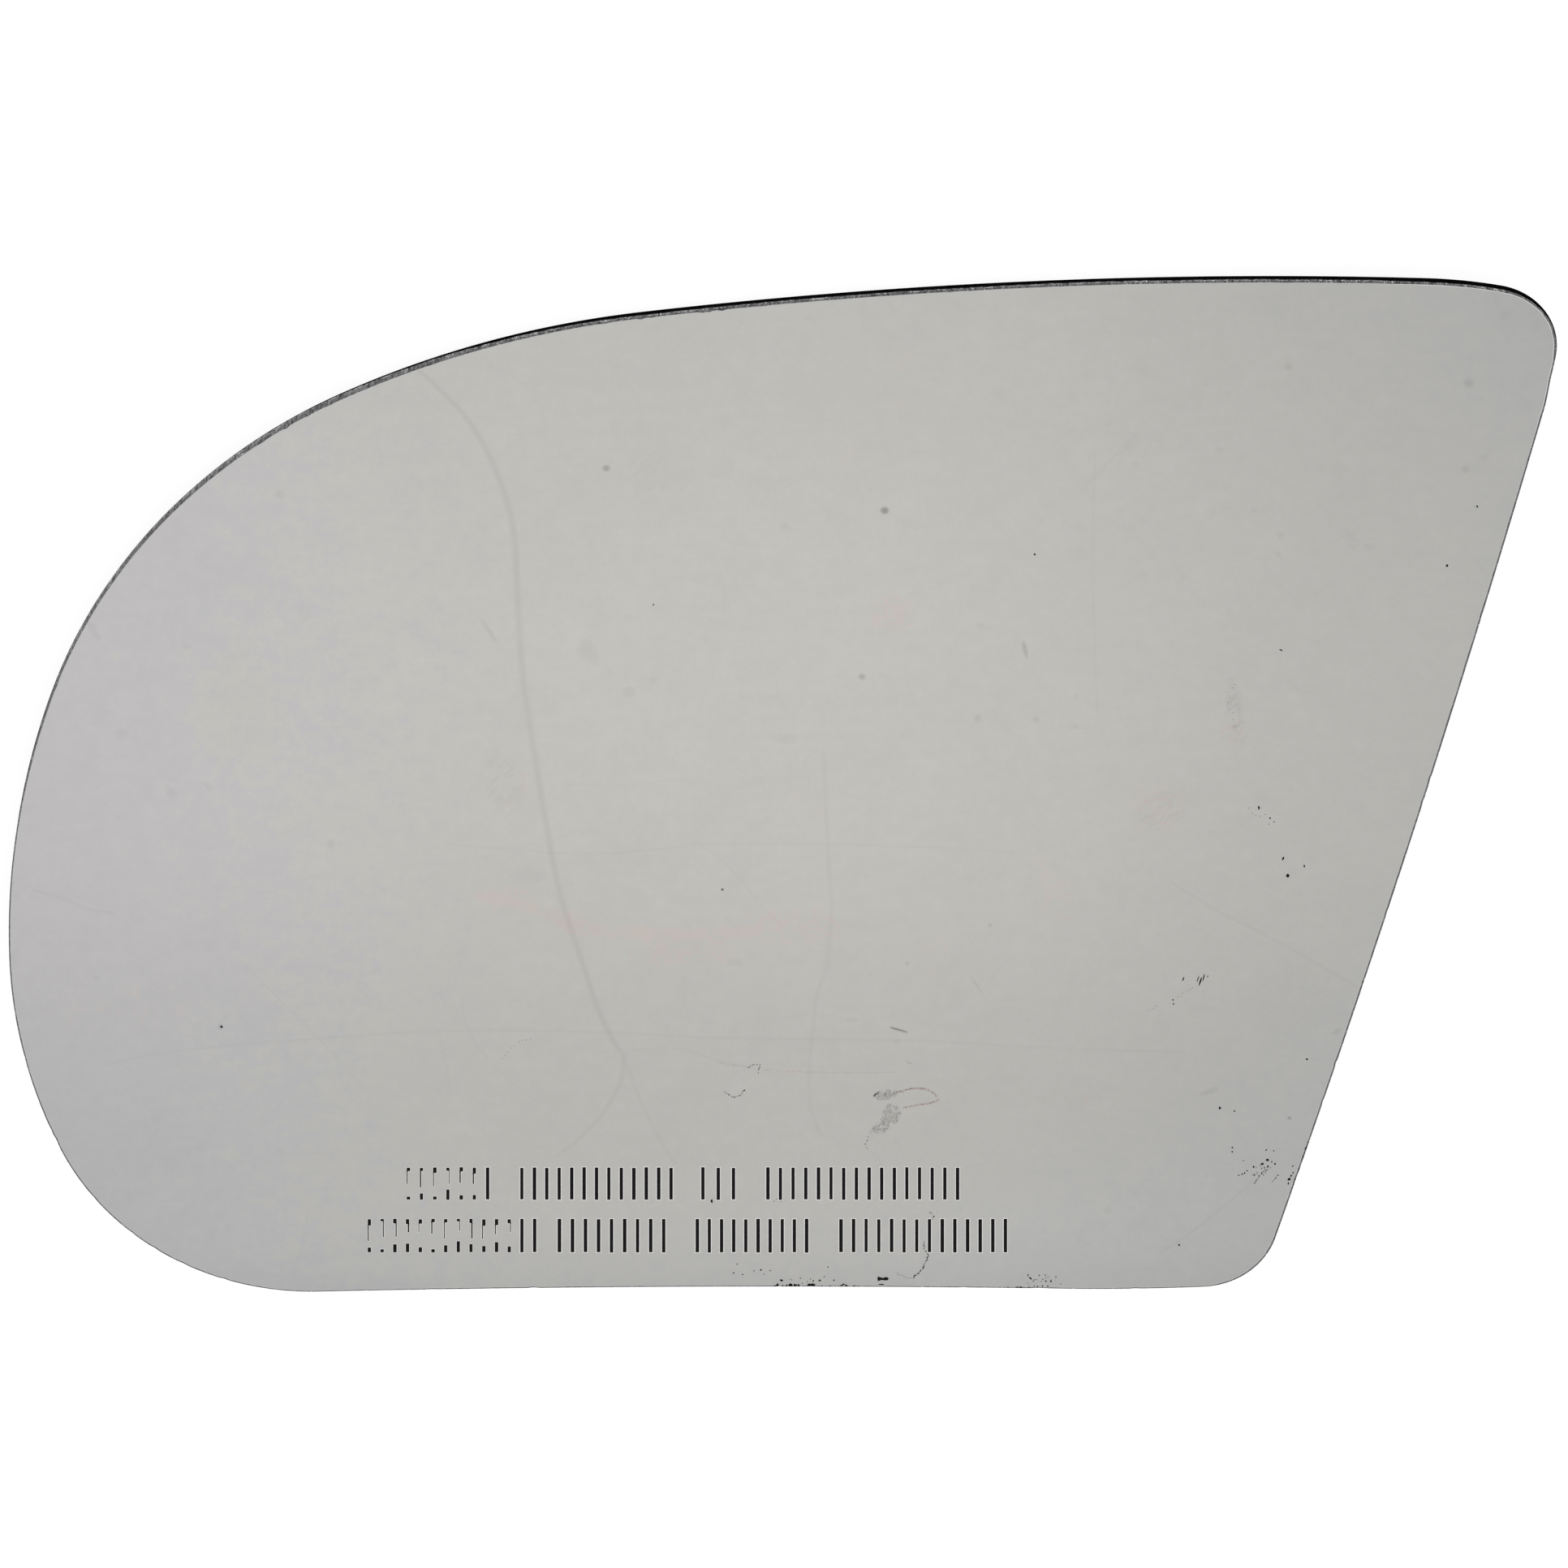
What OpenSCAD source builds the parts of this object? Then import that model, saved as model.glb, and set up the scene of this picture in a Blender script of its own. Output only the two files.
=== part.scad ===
// Door mirror glass for the passenger side of a car.
// One pane of bent glass, cut from a spherical blank and silvered on its hollow back.
// It lies on its bulged front face with the silvered back up: X runs along the pane,
// Y points to the upper edge as the glass is fitted, and Z is up.
// The origin is the lowest point of the front face, under the middle of the pane.

/* [Pane] */
// Overall width, from the left end to the right-hand tip
pane_w = 207.5; // [185:0.5:230]
// Overall height, from the bottom edge to the top edge
pane_h = 153.3; // [130:0.1:185]
// Thickness of the glass
glass_t = 2; // [1.6:0.1:4]
// Radius of the bulged front face
face_r = 1400; // [889:1:1651]

/* [Top edge] */
// Length of the straight stretch next to the tip
top_flat = 2; // [0.5:0.5:6]
// Radius of the long top edge
top_r = 830; // [620:5:1050]
// How far the long top edge turns, in degrees
top_turn = 7; // [5:0.1:9]
// Radius of the shoulder, where the top edge starts to fall
shoulder_r = 130; // [60:1:220]
// How far the shoulder turns, in degrees
shoulder_turn = 18.5; // [8:0.5:34]

/* [Left end] */
// Height of the leftmost point above the bottom edge
widest_up = 52.8; // [32:0.1:78]
// Facing of the rim where the left side takes over from the upper quarter, in degrees
side_from = 160; // [130:0.5:175]
// Facing of the rim where the heel takes over from the left side, in degrees
heel_from = 203; // [186:0.5:240]
// Distance from the left end to where the straight bottom edge starts
heel_in = 41; // [16:0.5:72]

/* [Right side] */
// Distance from the right-hand tip to the middle of the bottom corner
foot_in = 44.8; // [36:0.1:80]
// Radius of the bottom corner
foot_r = 11; // [3:0.5:22]
// Radius that eases the bottom edge into its corner
foot_ease_r = 280; // [80:5:600]
// How far that easing turns, in degrees
foot_ease_turn = 4; // [1:0.5:10]
// Radius of the slanted right side
flank_r = 1900; // [750:50:5000]
// Radius of the tip, the upper right corner
tip_r = 9; // [3:0.5:25]
// Radius that eases both edges into the tip
tip_ease_r = 65; // [20:1:150]
// Facing of the rim where the tip starts, in degrees below level
tip_low = 8.5; // [0:0.5:12]
// Facing of the rim where the tip ends, in degrees above level
tip_high = 81; // [60:0.5:89]

/* [Hidden] */
silvering = [0.74, 0.74, 0.73];
// Steps round the blank's sphere, and how far the rim's chords may stray from its arcs
blank_fn = 360;
stray = 0.01;

// A rim arc is [centre, radius, facing at its start, facing at its end], run anticlockwise.
function facing(a) = [cos(a), sin(a)];
function on_arc(arc, a) = arc[0] + arc[1] * facing(a);
function arc_start(arc) = on_arc(arc, arc[2]);
function arc_end(arc) = on_arc(arc, arc[3]);

// The arc that carries on from another without a kink, with its own radius, to a facing
function carry_on(arc, r, a) = [arc[0] + (arc[1] - r) * facing(arc[3]), r, arc[3], a];

// Two arcs that join at facing m and run from point p, facing a, to point q, facing b.
// An arc moves its end by its radius times the change of its facing, so both radii
// come from p and q.
function cross2(u, v) = u[0] * v[1] - u[1] * v[0];
function two_radii(p, q, u, v) = [cross2(q - p, v), cross2(u, q - p)] / cross2(u, v);
function blend(p, a, m, q, b) =
    let (
        r = two_radii(p, q, facing(m) - facing(a), facing(b) - facing(m)),
        first = [p - r[0] * facing(a), r[0], a, m]
    )
    [first, carry_on(first, r[1], b)];

// Facing of point p from centre c
function facing_of(c, p) = let (v = p - c) atan2(v[1], v[0]);

// Centre of an arc of radius r that touches the circles round p and q from outside,
// bulging to the right of the way from p to q
function around(p, rp, q, rq, r) =
    let (
        v = q - p,
        d = norm(v),
        along = ((r - rp) ^ 2 - (r - rq) ^ 2 + d ^ 2) / (2 * d),
        off = sqrt((r - rp) ^ 2 - along ^ 2)
    )
    p + (along * v + off * [-v[1], v[0]]) / d;

right_x = pane_w / 2;
top_y = pane_h / 2;

// The tip touches the right-hand limit, and its upper easing touches the top.
tip_step = tip_ease_r - tip_r;
tip_c = [right_x - tip_r, top_y - tip_ease_r + tip_step * sin(tip_high)];
tip_low_c = tip_c - tip_step * facing(-tip_low);

// The bottom corner, and the easing that leads into it from the bottom edge
foot_step = foot_ease_r - foot_r;
foot_c = [right_x - foot_in, -top_y + foot_ease_r - foot_step * cos(foot_ease_turn)];
foot_from = 270 + foot_ease_turn;
foot_ease = [foot_c - foot_step * facing(foot_from), foot_ease_r, 270, foot_from];

// The slanted side is one long arc from the bottom corner to the tip's lower easing.
flank_c = around(foot_c, foot_r, tip_low_c, tip_ease_r, flank_r);
flank_low = facing_of(flank_c, foot_c) + 360;
flank_high = facing_of(flank_c, tip_low_c) + 360;
foot = [foot_c, foot_r, foot_from, flank_low];
flank = [flank_c, flank_r, flank_low, flank_high];
tip_ease_low = [tip_low_c, tip_ease_r, flank_high, 360 - tip_low];
tip = [tip_c, tip_r, -tip_low, tip_high];
tip_ease_high = carry_on(tip, tip_ease_r, 90);

// The top edge falls away to the left through the shoulder.
top_start = arc_end(tip_ease_high) - [top_flat, 0];
top_edge = [top_start - [0, top_r], top_r, 90, 90 + top_turn];
shoulder = carry_on(top_edge, shoulder_r, 90 + top_turn + shoulder_turn);

// The left end is two blends that meet at the leftmost point.
leftmost = [-right_x, -top_y + widest_up];
bottom_start = [-right_x + heel_in, -top_y];
upper_left = blend(arc_end(shoulder), shoulder[3], side_from, leftmost, 180);
lower_left = blend(leftmost, 180, heel_from, bottom_start, 270);

rim = concat(
    [foot_ease, foot, flank, tip_ease_low, tip, tip_ease_high, top_edge, shoulder],
    upper_left,
    lower_left
);

// Points along an arc, close enough together that no chord strays too far from it
function arc_points(arc) =
    let (
        turn = arc[3] - arc[2],
        steps = ceil(turn / (2 * acos(1 - stray / arc[1])))
    )
    [for (i = [0:steps]) on_arc(arc, arc[2] + turn * i / steps)];

// The rim's points, leaving out the start of an arc that carries on from the one before
function rim_points() = [
    for (i = [0:len(rim) - 1])
        let (
            points = arc_points(rim[i]),
            before = rim[(i + len(rim) - 1) % len(rim)],
            follows = norm(arc_end(before) - points[0]) < stray
        )
        for (k = [follows ? 1 : 0:len(points) - 1]) points[k]
];

// Plan of the pane
module pane_outline() {
    polygon(rim_points());
}

// A sphere of the blank, turned so that its poles lie away from the pane
module blank(r) {
    translate([0, 0, face_r]) rotate([0, -90, 0]) sphere(r = r, $fn = blank_fn);
}

// The pane: a dished shell of even thickness, cut square to its plan all round
module mirror_glass() {
    reach = norm([pane_w, pane_h]) / 2;
    dish = face_r - sqrt(face_r ^ 2 - reach ^ 2);
    color(silvering) difference() {
        intersection() {
            blank(face_r);
            translate([0, 0, -glass_t]) linear_extrude(dish + 3 * glass_t) pane_outline();
        }
        blank(face_r - glass_t);
    }
}

mirror_glass();
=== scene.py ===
import math

import bpy
import numpy as np
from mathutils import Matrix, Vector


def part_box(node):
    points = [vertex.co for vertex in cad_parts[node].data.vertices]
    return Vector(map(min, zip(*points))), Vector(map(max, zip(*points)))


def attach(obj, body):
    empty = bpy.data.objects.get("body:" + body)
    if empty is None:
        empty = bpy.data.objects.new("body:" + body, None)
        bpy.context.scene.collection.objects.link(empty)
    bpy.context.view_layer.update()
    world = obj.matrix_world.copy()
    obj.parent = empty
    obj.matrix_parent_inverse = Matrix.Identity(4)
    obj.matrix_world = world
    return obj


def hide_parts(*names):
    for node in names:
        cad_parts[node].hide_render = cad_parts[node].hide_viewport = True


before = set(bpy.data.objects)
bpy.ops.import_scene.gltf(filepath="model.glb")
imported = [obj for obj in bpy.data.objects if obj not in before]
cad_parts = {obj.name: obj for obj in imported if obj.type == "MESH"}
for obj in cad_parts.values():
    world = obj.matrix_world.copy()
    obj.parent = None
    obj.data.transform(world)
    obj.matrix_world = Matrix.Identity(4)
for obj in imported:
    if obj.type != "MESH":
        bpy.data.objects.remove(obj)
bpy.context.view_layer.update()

# Lengths are in millimetres until a mesh is made, which is in metres.
millimetre = 0.001


def addToScene(name, data):
    thing = bpy.data.objects.new(name, data)
    bpy.context.scene.collection.objects.link(thing)
    return thing


# The photograph's own view: square to X, tilted towards the top edge
photo = {
    "side": 1932,  # pixels along each side of the square picture
    "focal": 12768.0,  # focal length in those pixels
    "tilt": 27.0,  # degrees off square to the pane
    "distance": 1400.0,  # from the camera to what it looks at
    "lookAt": (1.654, 1.434, 4.0),
    "sensor": 36.0,
    "clip": (0.01, 20.0),  # in metres
}


def cameraAxes():
    tilt = math.radians(photo["tilt"])
    right = np.array([1.0, 0.0, 0.0])
    up = np.array([0.0, math.cos(tilt), -math.sin(tilt)])
    back = np.array([0.0, math.sin(tilt), math.cos(tilt)])
    return right, up, back, np.array(photo["lookAt"]) + photo["distance"] * back


def makeCamera():
    data = bpy.data.cameras.new("photoCamera")
    data.sensor_width = photo["sensor"]
    data.lens = photo["sensor"] * photo["focal"] / photo["side"]
    data.clip_start, data.clip_end = photo["clip"]
    camera = addToScene("photoCamera", data)
    camera.rotation_euler = (-math.radians(photo["tilt"]), 0.0, 0.0)
    camera.location = cameraAxes()[3] * millimetre
    bpy.context.scene.camera = camera


makeCamera()
print("camera placed")


# The pane's own sizes, which the frame's solid has too. Angles are in degrees.
pane = {
    "width": 207.5,
    "height": 153.3,
    "thickness": 2.0,
    "faceRadius": 1400.0,  # the bulged front; the hollow back has the same centre
    "topFlat": 2.0, "topRadius": 830.0, "topTurn": 7.0,
    "shoulderRadius": 130.0, "shoulderTurn": 18.5,
    "widestUp": 52.8, "sideFrom": 160.0, "heelFrom": 203.0, "heelIn": 41.0,
    "footIn": 44.8, "footRadius": 11.0, "footEaseRadius": 280.0, "footEaseTurn": 4.0,
    "flankRadius": 1900.0,
    "tipRadius": 9.0, "tipEaseRadius": 65.0, "tipLow": 8.5, "tipHigh": 81.0,
    "straight": 1e6,  # a straight stretch is an arc of this radius
    "rimSteps": 2400, "backRings": 14, "frontRings": 12,
    "hub": (4.0, 0.0),  # where the rings of both faces shrink to a point
}


def facing(angle):
    turn = math.radians(angle)
    return np.array([math.cos(turn), math.sin(turn)])


def cross(u, v):
    return u[0] * v[1] - u[1] * v[0]


def arcEnd(arc):
    return arc[0] + arc[1] * facing(arc[3])


# An arc is its centre, its radius, and where it faces at its start and its end.
def carryOn(arc, radius, angle):
    return [arc[0] + (arc[1] - radius) * facing(arc[3]), radius, arc[3], angle]


# Two arcs, joined at facing m, from p, facing a, to q, facing b: each moves its end by its
# radius times the change of its facing, so both radii come from p and q.
def blendArcs(p, a, m, q, b):
    u = facing(m) - facing(a)
    v = facing(b) - facing(m)
    firstRadius = cross(q - p, v) / cross(u, v)
    lastRadius = cross(u, q - p) / cross(u, v)
    first = [p - firstRadius * facing(a), firstRadius, a, m]
    return [first, carryOn(first, lastRadius, b)]


# Centre of an arc that touches the circles round p and q from outside
def centreAround(p, pRadius, q, qRadius, radius):
    v = q - p
    d = math.hypot(*v)
    along = ((radius - pRadius) ** 2 - (radius - qRadius) ** 2 + d ** 2) / (2 * d)
    off = math.sqrt((radius - pRadius) ** 2 - along ** 2)
    return p + (along * v + off * np.array([-v[1], v[0]])) / d


def facingOf(centre, point):
    return math.degrees(math.atan2(point[1] - centre[1], point[0] - centre[0])) + 360


# A straight stretch that faces one way from p to q
def straightArc(p, q, angle):
    turn = math.degrees(math.hypot(*(q - p)) / pane["straight"])
    return [p - pane["straight"] * facing(angle), pane["straight"], angle, angle + turn]


# The outline, anticlockwise from the right end of the straight bottom edge
def rimArcs():
    rightX, topY = pane["width"] / 2, pane["height"] / 2
    tipRadius, tipEase = pane["tipRadius"], pane["tipEaseRadius"]
    footRadius, footEaseBy, footTurn = pane["footRadius"], pane["footEaseRadius"], pane["footEaseTurn"]
    tipStep = tipEase - tipRadius
    tipRise = tipStep * math.sin(math.radians(pane["tipHigh"]))
    tipCentre = np.array([rightX - tipRadius, topY - tipEase + tipRise])
    easeCentre = tipCentre - tipStep * facing(-pane["tipLow"])
    footStep = footEaseBy - footRadius
    footDrop = footStep * math.cos(math.radians(footTurn))
    footCentre = np.array([rightX - pane["footIn"], -topY + footEaseBy - footDrop])
    footFrom = 270 + footTurn
    footEase = [footCentre - footStep * facing(footFrom), footEaseBy, 270, footFrom]
    flankCentre = centreAround(footCentre, footRadius, easeCentre, tipEase, pane["flankRadius"])
    flankLow = facingOf(flankCentre, footCentre)
    flankHigh = facingOf(flankCentre, easeCentre)
    foot = [footCentre, footRadius, footFrom, flankLow]
    flank = [flankCentre, pane["flankRadius"], flankLow, flankHigh]
    easeLow = [easeCentre, tipEase, flankHigh, 360 - pane["tipLow"]]
    tip = [tipCentre, tipRadius, 360 - pane["tipLow"], 360 + pane["tipHigh"]]
    easeHigh = carryOn(tip, tipEase, 450)
    topStart = arcEnd(easeHigh) - np.array([pane["topFlat"], 0.0])
    flat = straightArc(arcEnd(easeHigh), topStart, 450)
    topEnds = 450 + pane["topTurn"]
    topEdge = [topStart - np.array([0.0, pane["topRadius"]]), pane["topRadius"], 450, topEnds]
    shoulder = carryOn(topEdge, pane["shoulderRadius"], topEnds + pane["shoulderTurn"])
    leftmost = np.array([-rightX, -topY + pane["widestUp"]])
    bottomStart = np.array([-rightX + pane["heelIn"], -topY])
    upperLeft = blendArcs(arcEnd(shoulder), shoulder[3], 360 + pane["sideFrom"], leftmost, 540)
    lowerLeft = blendArcs(leftmost, 540, 360 + pane["heelFrom"], bottomStart, 630)
    bottom = straightArc(bottomStart, footEase[0] - np.array([0.0, footEase[1]]), 630)
    parts = [footEase, foot, flank, easeLow, tip, easeHigh, flat, topEdge, shoulder]
    return parts + upperLeft + lowerLeft + [bottom]


# Even points along the outline, and the way that each one faces
def rimPath(count):
    centres, radii, starts, ends = (np.array(column) for column in zip(*rimArcs()))
    starts, ends = np.radians(starts), np.radians(ends)
    joints = np.concatenate([[0.0], np.cumsum(radii * (ends - starts))])
    along = np.arange(count) * joints[-1] / count
    which = np.searchsorted(joints, along, side="right") - 1
    turn = starts[which] + (along - joints[which]) / radii[which]
    outward = np.stack([np.cos(turn), np.sin(turn)], axis=-1)
    points = centres[which] + radii[which, None] * outward
    return {"points": points, "outward": outward, "along": along,
            "length": joints[-1], "tipStart": joints[4]}


# Height of a face over the plan: a sphere round the common centre
def frontHeight(plan, inwards=0.0):
    radius = pane["faceRadius"] - inwards
    return pane["faceRadius"] - np.sqrt(radius ** 2 - (plan ** 2).sum(axis=-1))


def backHeight(plan):
    return frontHeight(plan, pane["thickness"])


# Where the sight line through a pixel of the photograph meets the back, in the plan
def onPane(pixels):
    right, up, back, place = cameraAxes()
    offset = (np.asarray(pixels, float) - photo["side"] / 2) / photo["focal"]
    ray = offset[..., :1] * right - offset[..., 1:2] * up - back
    ray /= np.linalg.norm(ray, axis=-1, keepdims=True)
    fromCentre = place - np.array([0.0, 0.0, pane["faceRadius"]])
    half = ray @ fromCentre
    rest = fromCentre @ fromCentre - (pane["faceRadius"] - pane["thickness"]) ** 2
    reach = -half + np.sqrt(half ** 2 - rest)
    return (place + reach[..., None] * ray)[..., :2]


# Millimetres of the pane that a pixel covers
pixelAcross = photo["distance"] / photo["focal"]
pixelUp = pixelAcross / math.cos(math.radians(photo["tilt"]))


def lifted(plan, height):
    return np.concatenate([plan, height[..., None]], axis=-1)


def addObject(name, points, faces, materials, slots=None):
    mesh = bpy.data.meshes.new(name)
    mesh.from_pydata(points * millimetre, [], faces)
    for material in materials:
        mesh.materials.append(material)
    if slots is not None:
        mesh.polygons.foreach_set("material_index", slots)
    mesh.update()
    return addToScene(name, mesh)


def setCurve(mapping, points):
    curve = mapping.curves[0]
    while len(curve.points) < len(points):
        curve.points.new(0.5, 0.5)
    for point, place in zip(curve.points, points):
        point.location = place
    mapping.update()


# A wire is a socket of a material or world; plus, minus, times and divide make Math nodes
class Wire:
    def __init__(self, owner, socket=None):
        self.owner = owner
        self.socket = socket

    # A node: its type, its settings, and the values or links of its sockets
    def node(self, kind, settings=None, sockets=None, output=0):
        tree = self.owner.node_tree
        made = tree.nodes.new("ShaderNode" + kind)
        for name, value in (settings or {}).items():
            if name == "curve":
                setCurve(made.mapping, value)
            else:
                setattr(made, name, value)
        for key, value in (sockets or {}).items():
            socket = made.inputs[key]
            if isinstance(value, Wire):
                tree.links.new(value.socket, socket)
            else:
                socket.default_value = (*value, 1.0) if socket.type == "RGBA" else value
        return Wire(self.owner, made.outputs[output]) if made.outputs else made

    def maths(self, operation, *values):
        return self.node("Math", {"operation": operation}, dict(enumerate(values)))

    def __add__(self, other):
        return self.maths("ADD", self, other)

    def __sub__(self, other):
        return self.maths("SUBTRACT", self, other)

    def __rsub__(self, other):
        return self.maths("SUBTRACT", other, self)

    def __mul__(self, other):
        return self.maths("MULTIPLY", self, other)

    def __truediv__(self, other):
        return self.maths("DIVIDE", self, other)

    def __rtruediv__(self, other):
        return self.maths("DIVIDE", other, self)

    __radd__ = __add__
    __rmul__ = __mul__

    # Place on the pane in millimetres
    def place(self):
        local = self.node("TexCoord", output="Object")
        return self.node("VectorMath", {"operation": "SCALE"}, {0: local, "Scale": 1 / millimetre})

    def split(self):
        outputs = self.node("SeparateXYZ", None, {0: self}).socket.node.outputs
        return [Wire(self.owner, output) for output in outputs]

    # Turned by some degrees and scaled, for patterns that run one way
    def stretched(self, scale, turn=0.0, order="POINT"):
        turned = (0.0, 0.0, math.radians(turn))
        return self.node("Mapping", {"vector_type": order}, {
            "Vector": self, "Rotation": turned, "Scale": scale})

    # Noise, its scale in features per millimetre
    def noise(self, scale, detail, roughness):
        return self.node("TexNoise", None, {
            "Vector": self, "Scale": scale, "Detail": detail, "Roughness": roughness})

    def curved(self, points):
        return self.node("FloatCurve", {"curve": points}, {"Value": self})

    def step(self, start, end, first=0.0, last=1.0):
        return self.node("MapRange", {"interpolation_type": "SMOOTHSTEP"}, {
            "Value": self, "From Min": start, "From Max": end, "To Min": first, "To Max": last})

    # Two colours mixed, with this as the share of the second
    def blend(self, first, last):
        return self.node("Mix", {"data_type": "RGBA"}, {0: self, 6: first, 7: last}, 2)

    # A colour made lighter or darker by this
    def shade(self, colour):
        grey = self.node("CombineXYZ", None, {0: self, 1: self, 2: self})
        return self.node("VectorMath", {"operation": "MULTIPLY"}, {0: colour, 1: grey})

    # A soft ellipse: full strength within the core share of its size, 0 at its edge. A nearly
    # round one is a ball, which takes fewer nodes.
    def spot(self, centre, size, core=0.0, strength=1.0, turn=0.0):
        nearlyRound = 1.25
        if max(size) < nearlyRound * min(size):
            middle = (*centre, backHeight(np.array(centre)))
            far = self.node("VectorMath", {"operation": "DISTANCE"}, {0: self, 1: middle}, "Value")
            edge = math.sqrt(size[0] * size[1])
            return far.step(core * edge, edge, strength, 0.0)
        x, y = facing(turn)
        off = self.node("VectorMath", {"operation": "SUBTRACT"}, {0: self, 1: (*centre, 0)})
        u, v = [self.node("VectorMath", {"operation": "DOT_PRODUCT"}, {0: off, 1: way}, "Value")
                for way in ((x / size[0], y / size[0], 0.0), (-y / size[1], x / size[1], 0.0))]
        return (u * u + v * v).step(core ** 2, 1.0, strength, 0.0)

    # Soft spots by pixel, half sizes, strength and, where it has one, turn
    def spots(self, marks, core):
        return sum(self.spot(onPane((x, y)), (across * pixelAcross, up * pixelUp), core, *rest)
                   for x, y, across, up, *rest in marks)

    def bump(self, strength, distance):
        return self.node("Bump", None, {"Strength": strength, "Distance": distance, "Height": self})

    def surface(self, sockets):
        shader = self.node("BsdfPrincipled", None, sockets)
        self.node("OutputMaterial", None, {"Surface": shader})
        return self.owner


# First wire of a material or world, cleared of its nodes
def firstWire(owner):
    owner.use_nodes = True
    owner.node_tree.nodes.clear()
    return Wire(owner)


def newFinish(name):
    return firstWire(bpy.data.materials.new(name))


# A line through the given pixels, as a smooth curve of one coordinate over the other
def lineMask(axes, pixels, halfWidth, strength):
    points = onPane(pixels)
    span = np.abs(points[-1] - points[0])
    main = 0 if span[0] > span[1] else 1
    side = 1 - main
    if points[0, main] > points[-1, main]:
        points = points[::-1]
    start, end = points[0, main], points[-1, main]
    low = points[:, side].min() - 1.0
    high = points[:, side].max() + 1.0
    curve = [((a - start) / (end - start), (b - low) / (high - low))
             for a, b in points[:, [main, side]]]
    share = (axes[main] - start) / (end - start)
    middle = share.curved(curve)
    width = halfWidth * (pixelUp if main == 0 else pixelAcross)
    # A slanting line is wider when it is measured along an axis
    width /= math.cos(math.atan2(span[side], end - start))
    off = axes[side] - (middle * (high - low) + low)
    off = off.maths("ABSOLUTE", off)
    fade = 0.6 * width / (end - start)
    ends = share.step(-fade, fade) * share.step(1 - fade, 1 + fade, 1.0, 0.0)
    return off.step(0.0, width, strength, 0.0) * ends


def lineMasks(axes, marks):
    return sum(lineMask(axes, *mark) for mark in marks)


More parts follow.
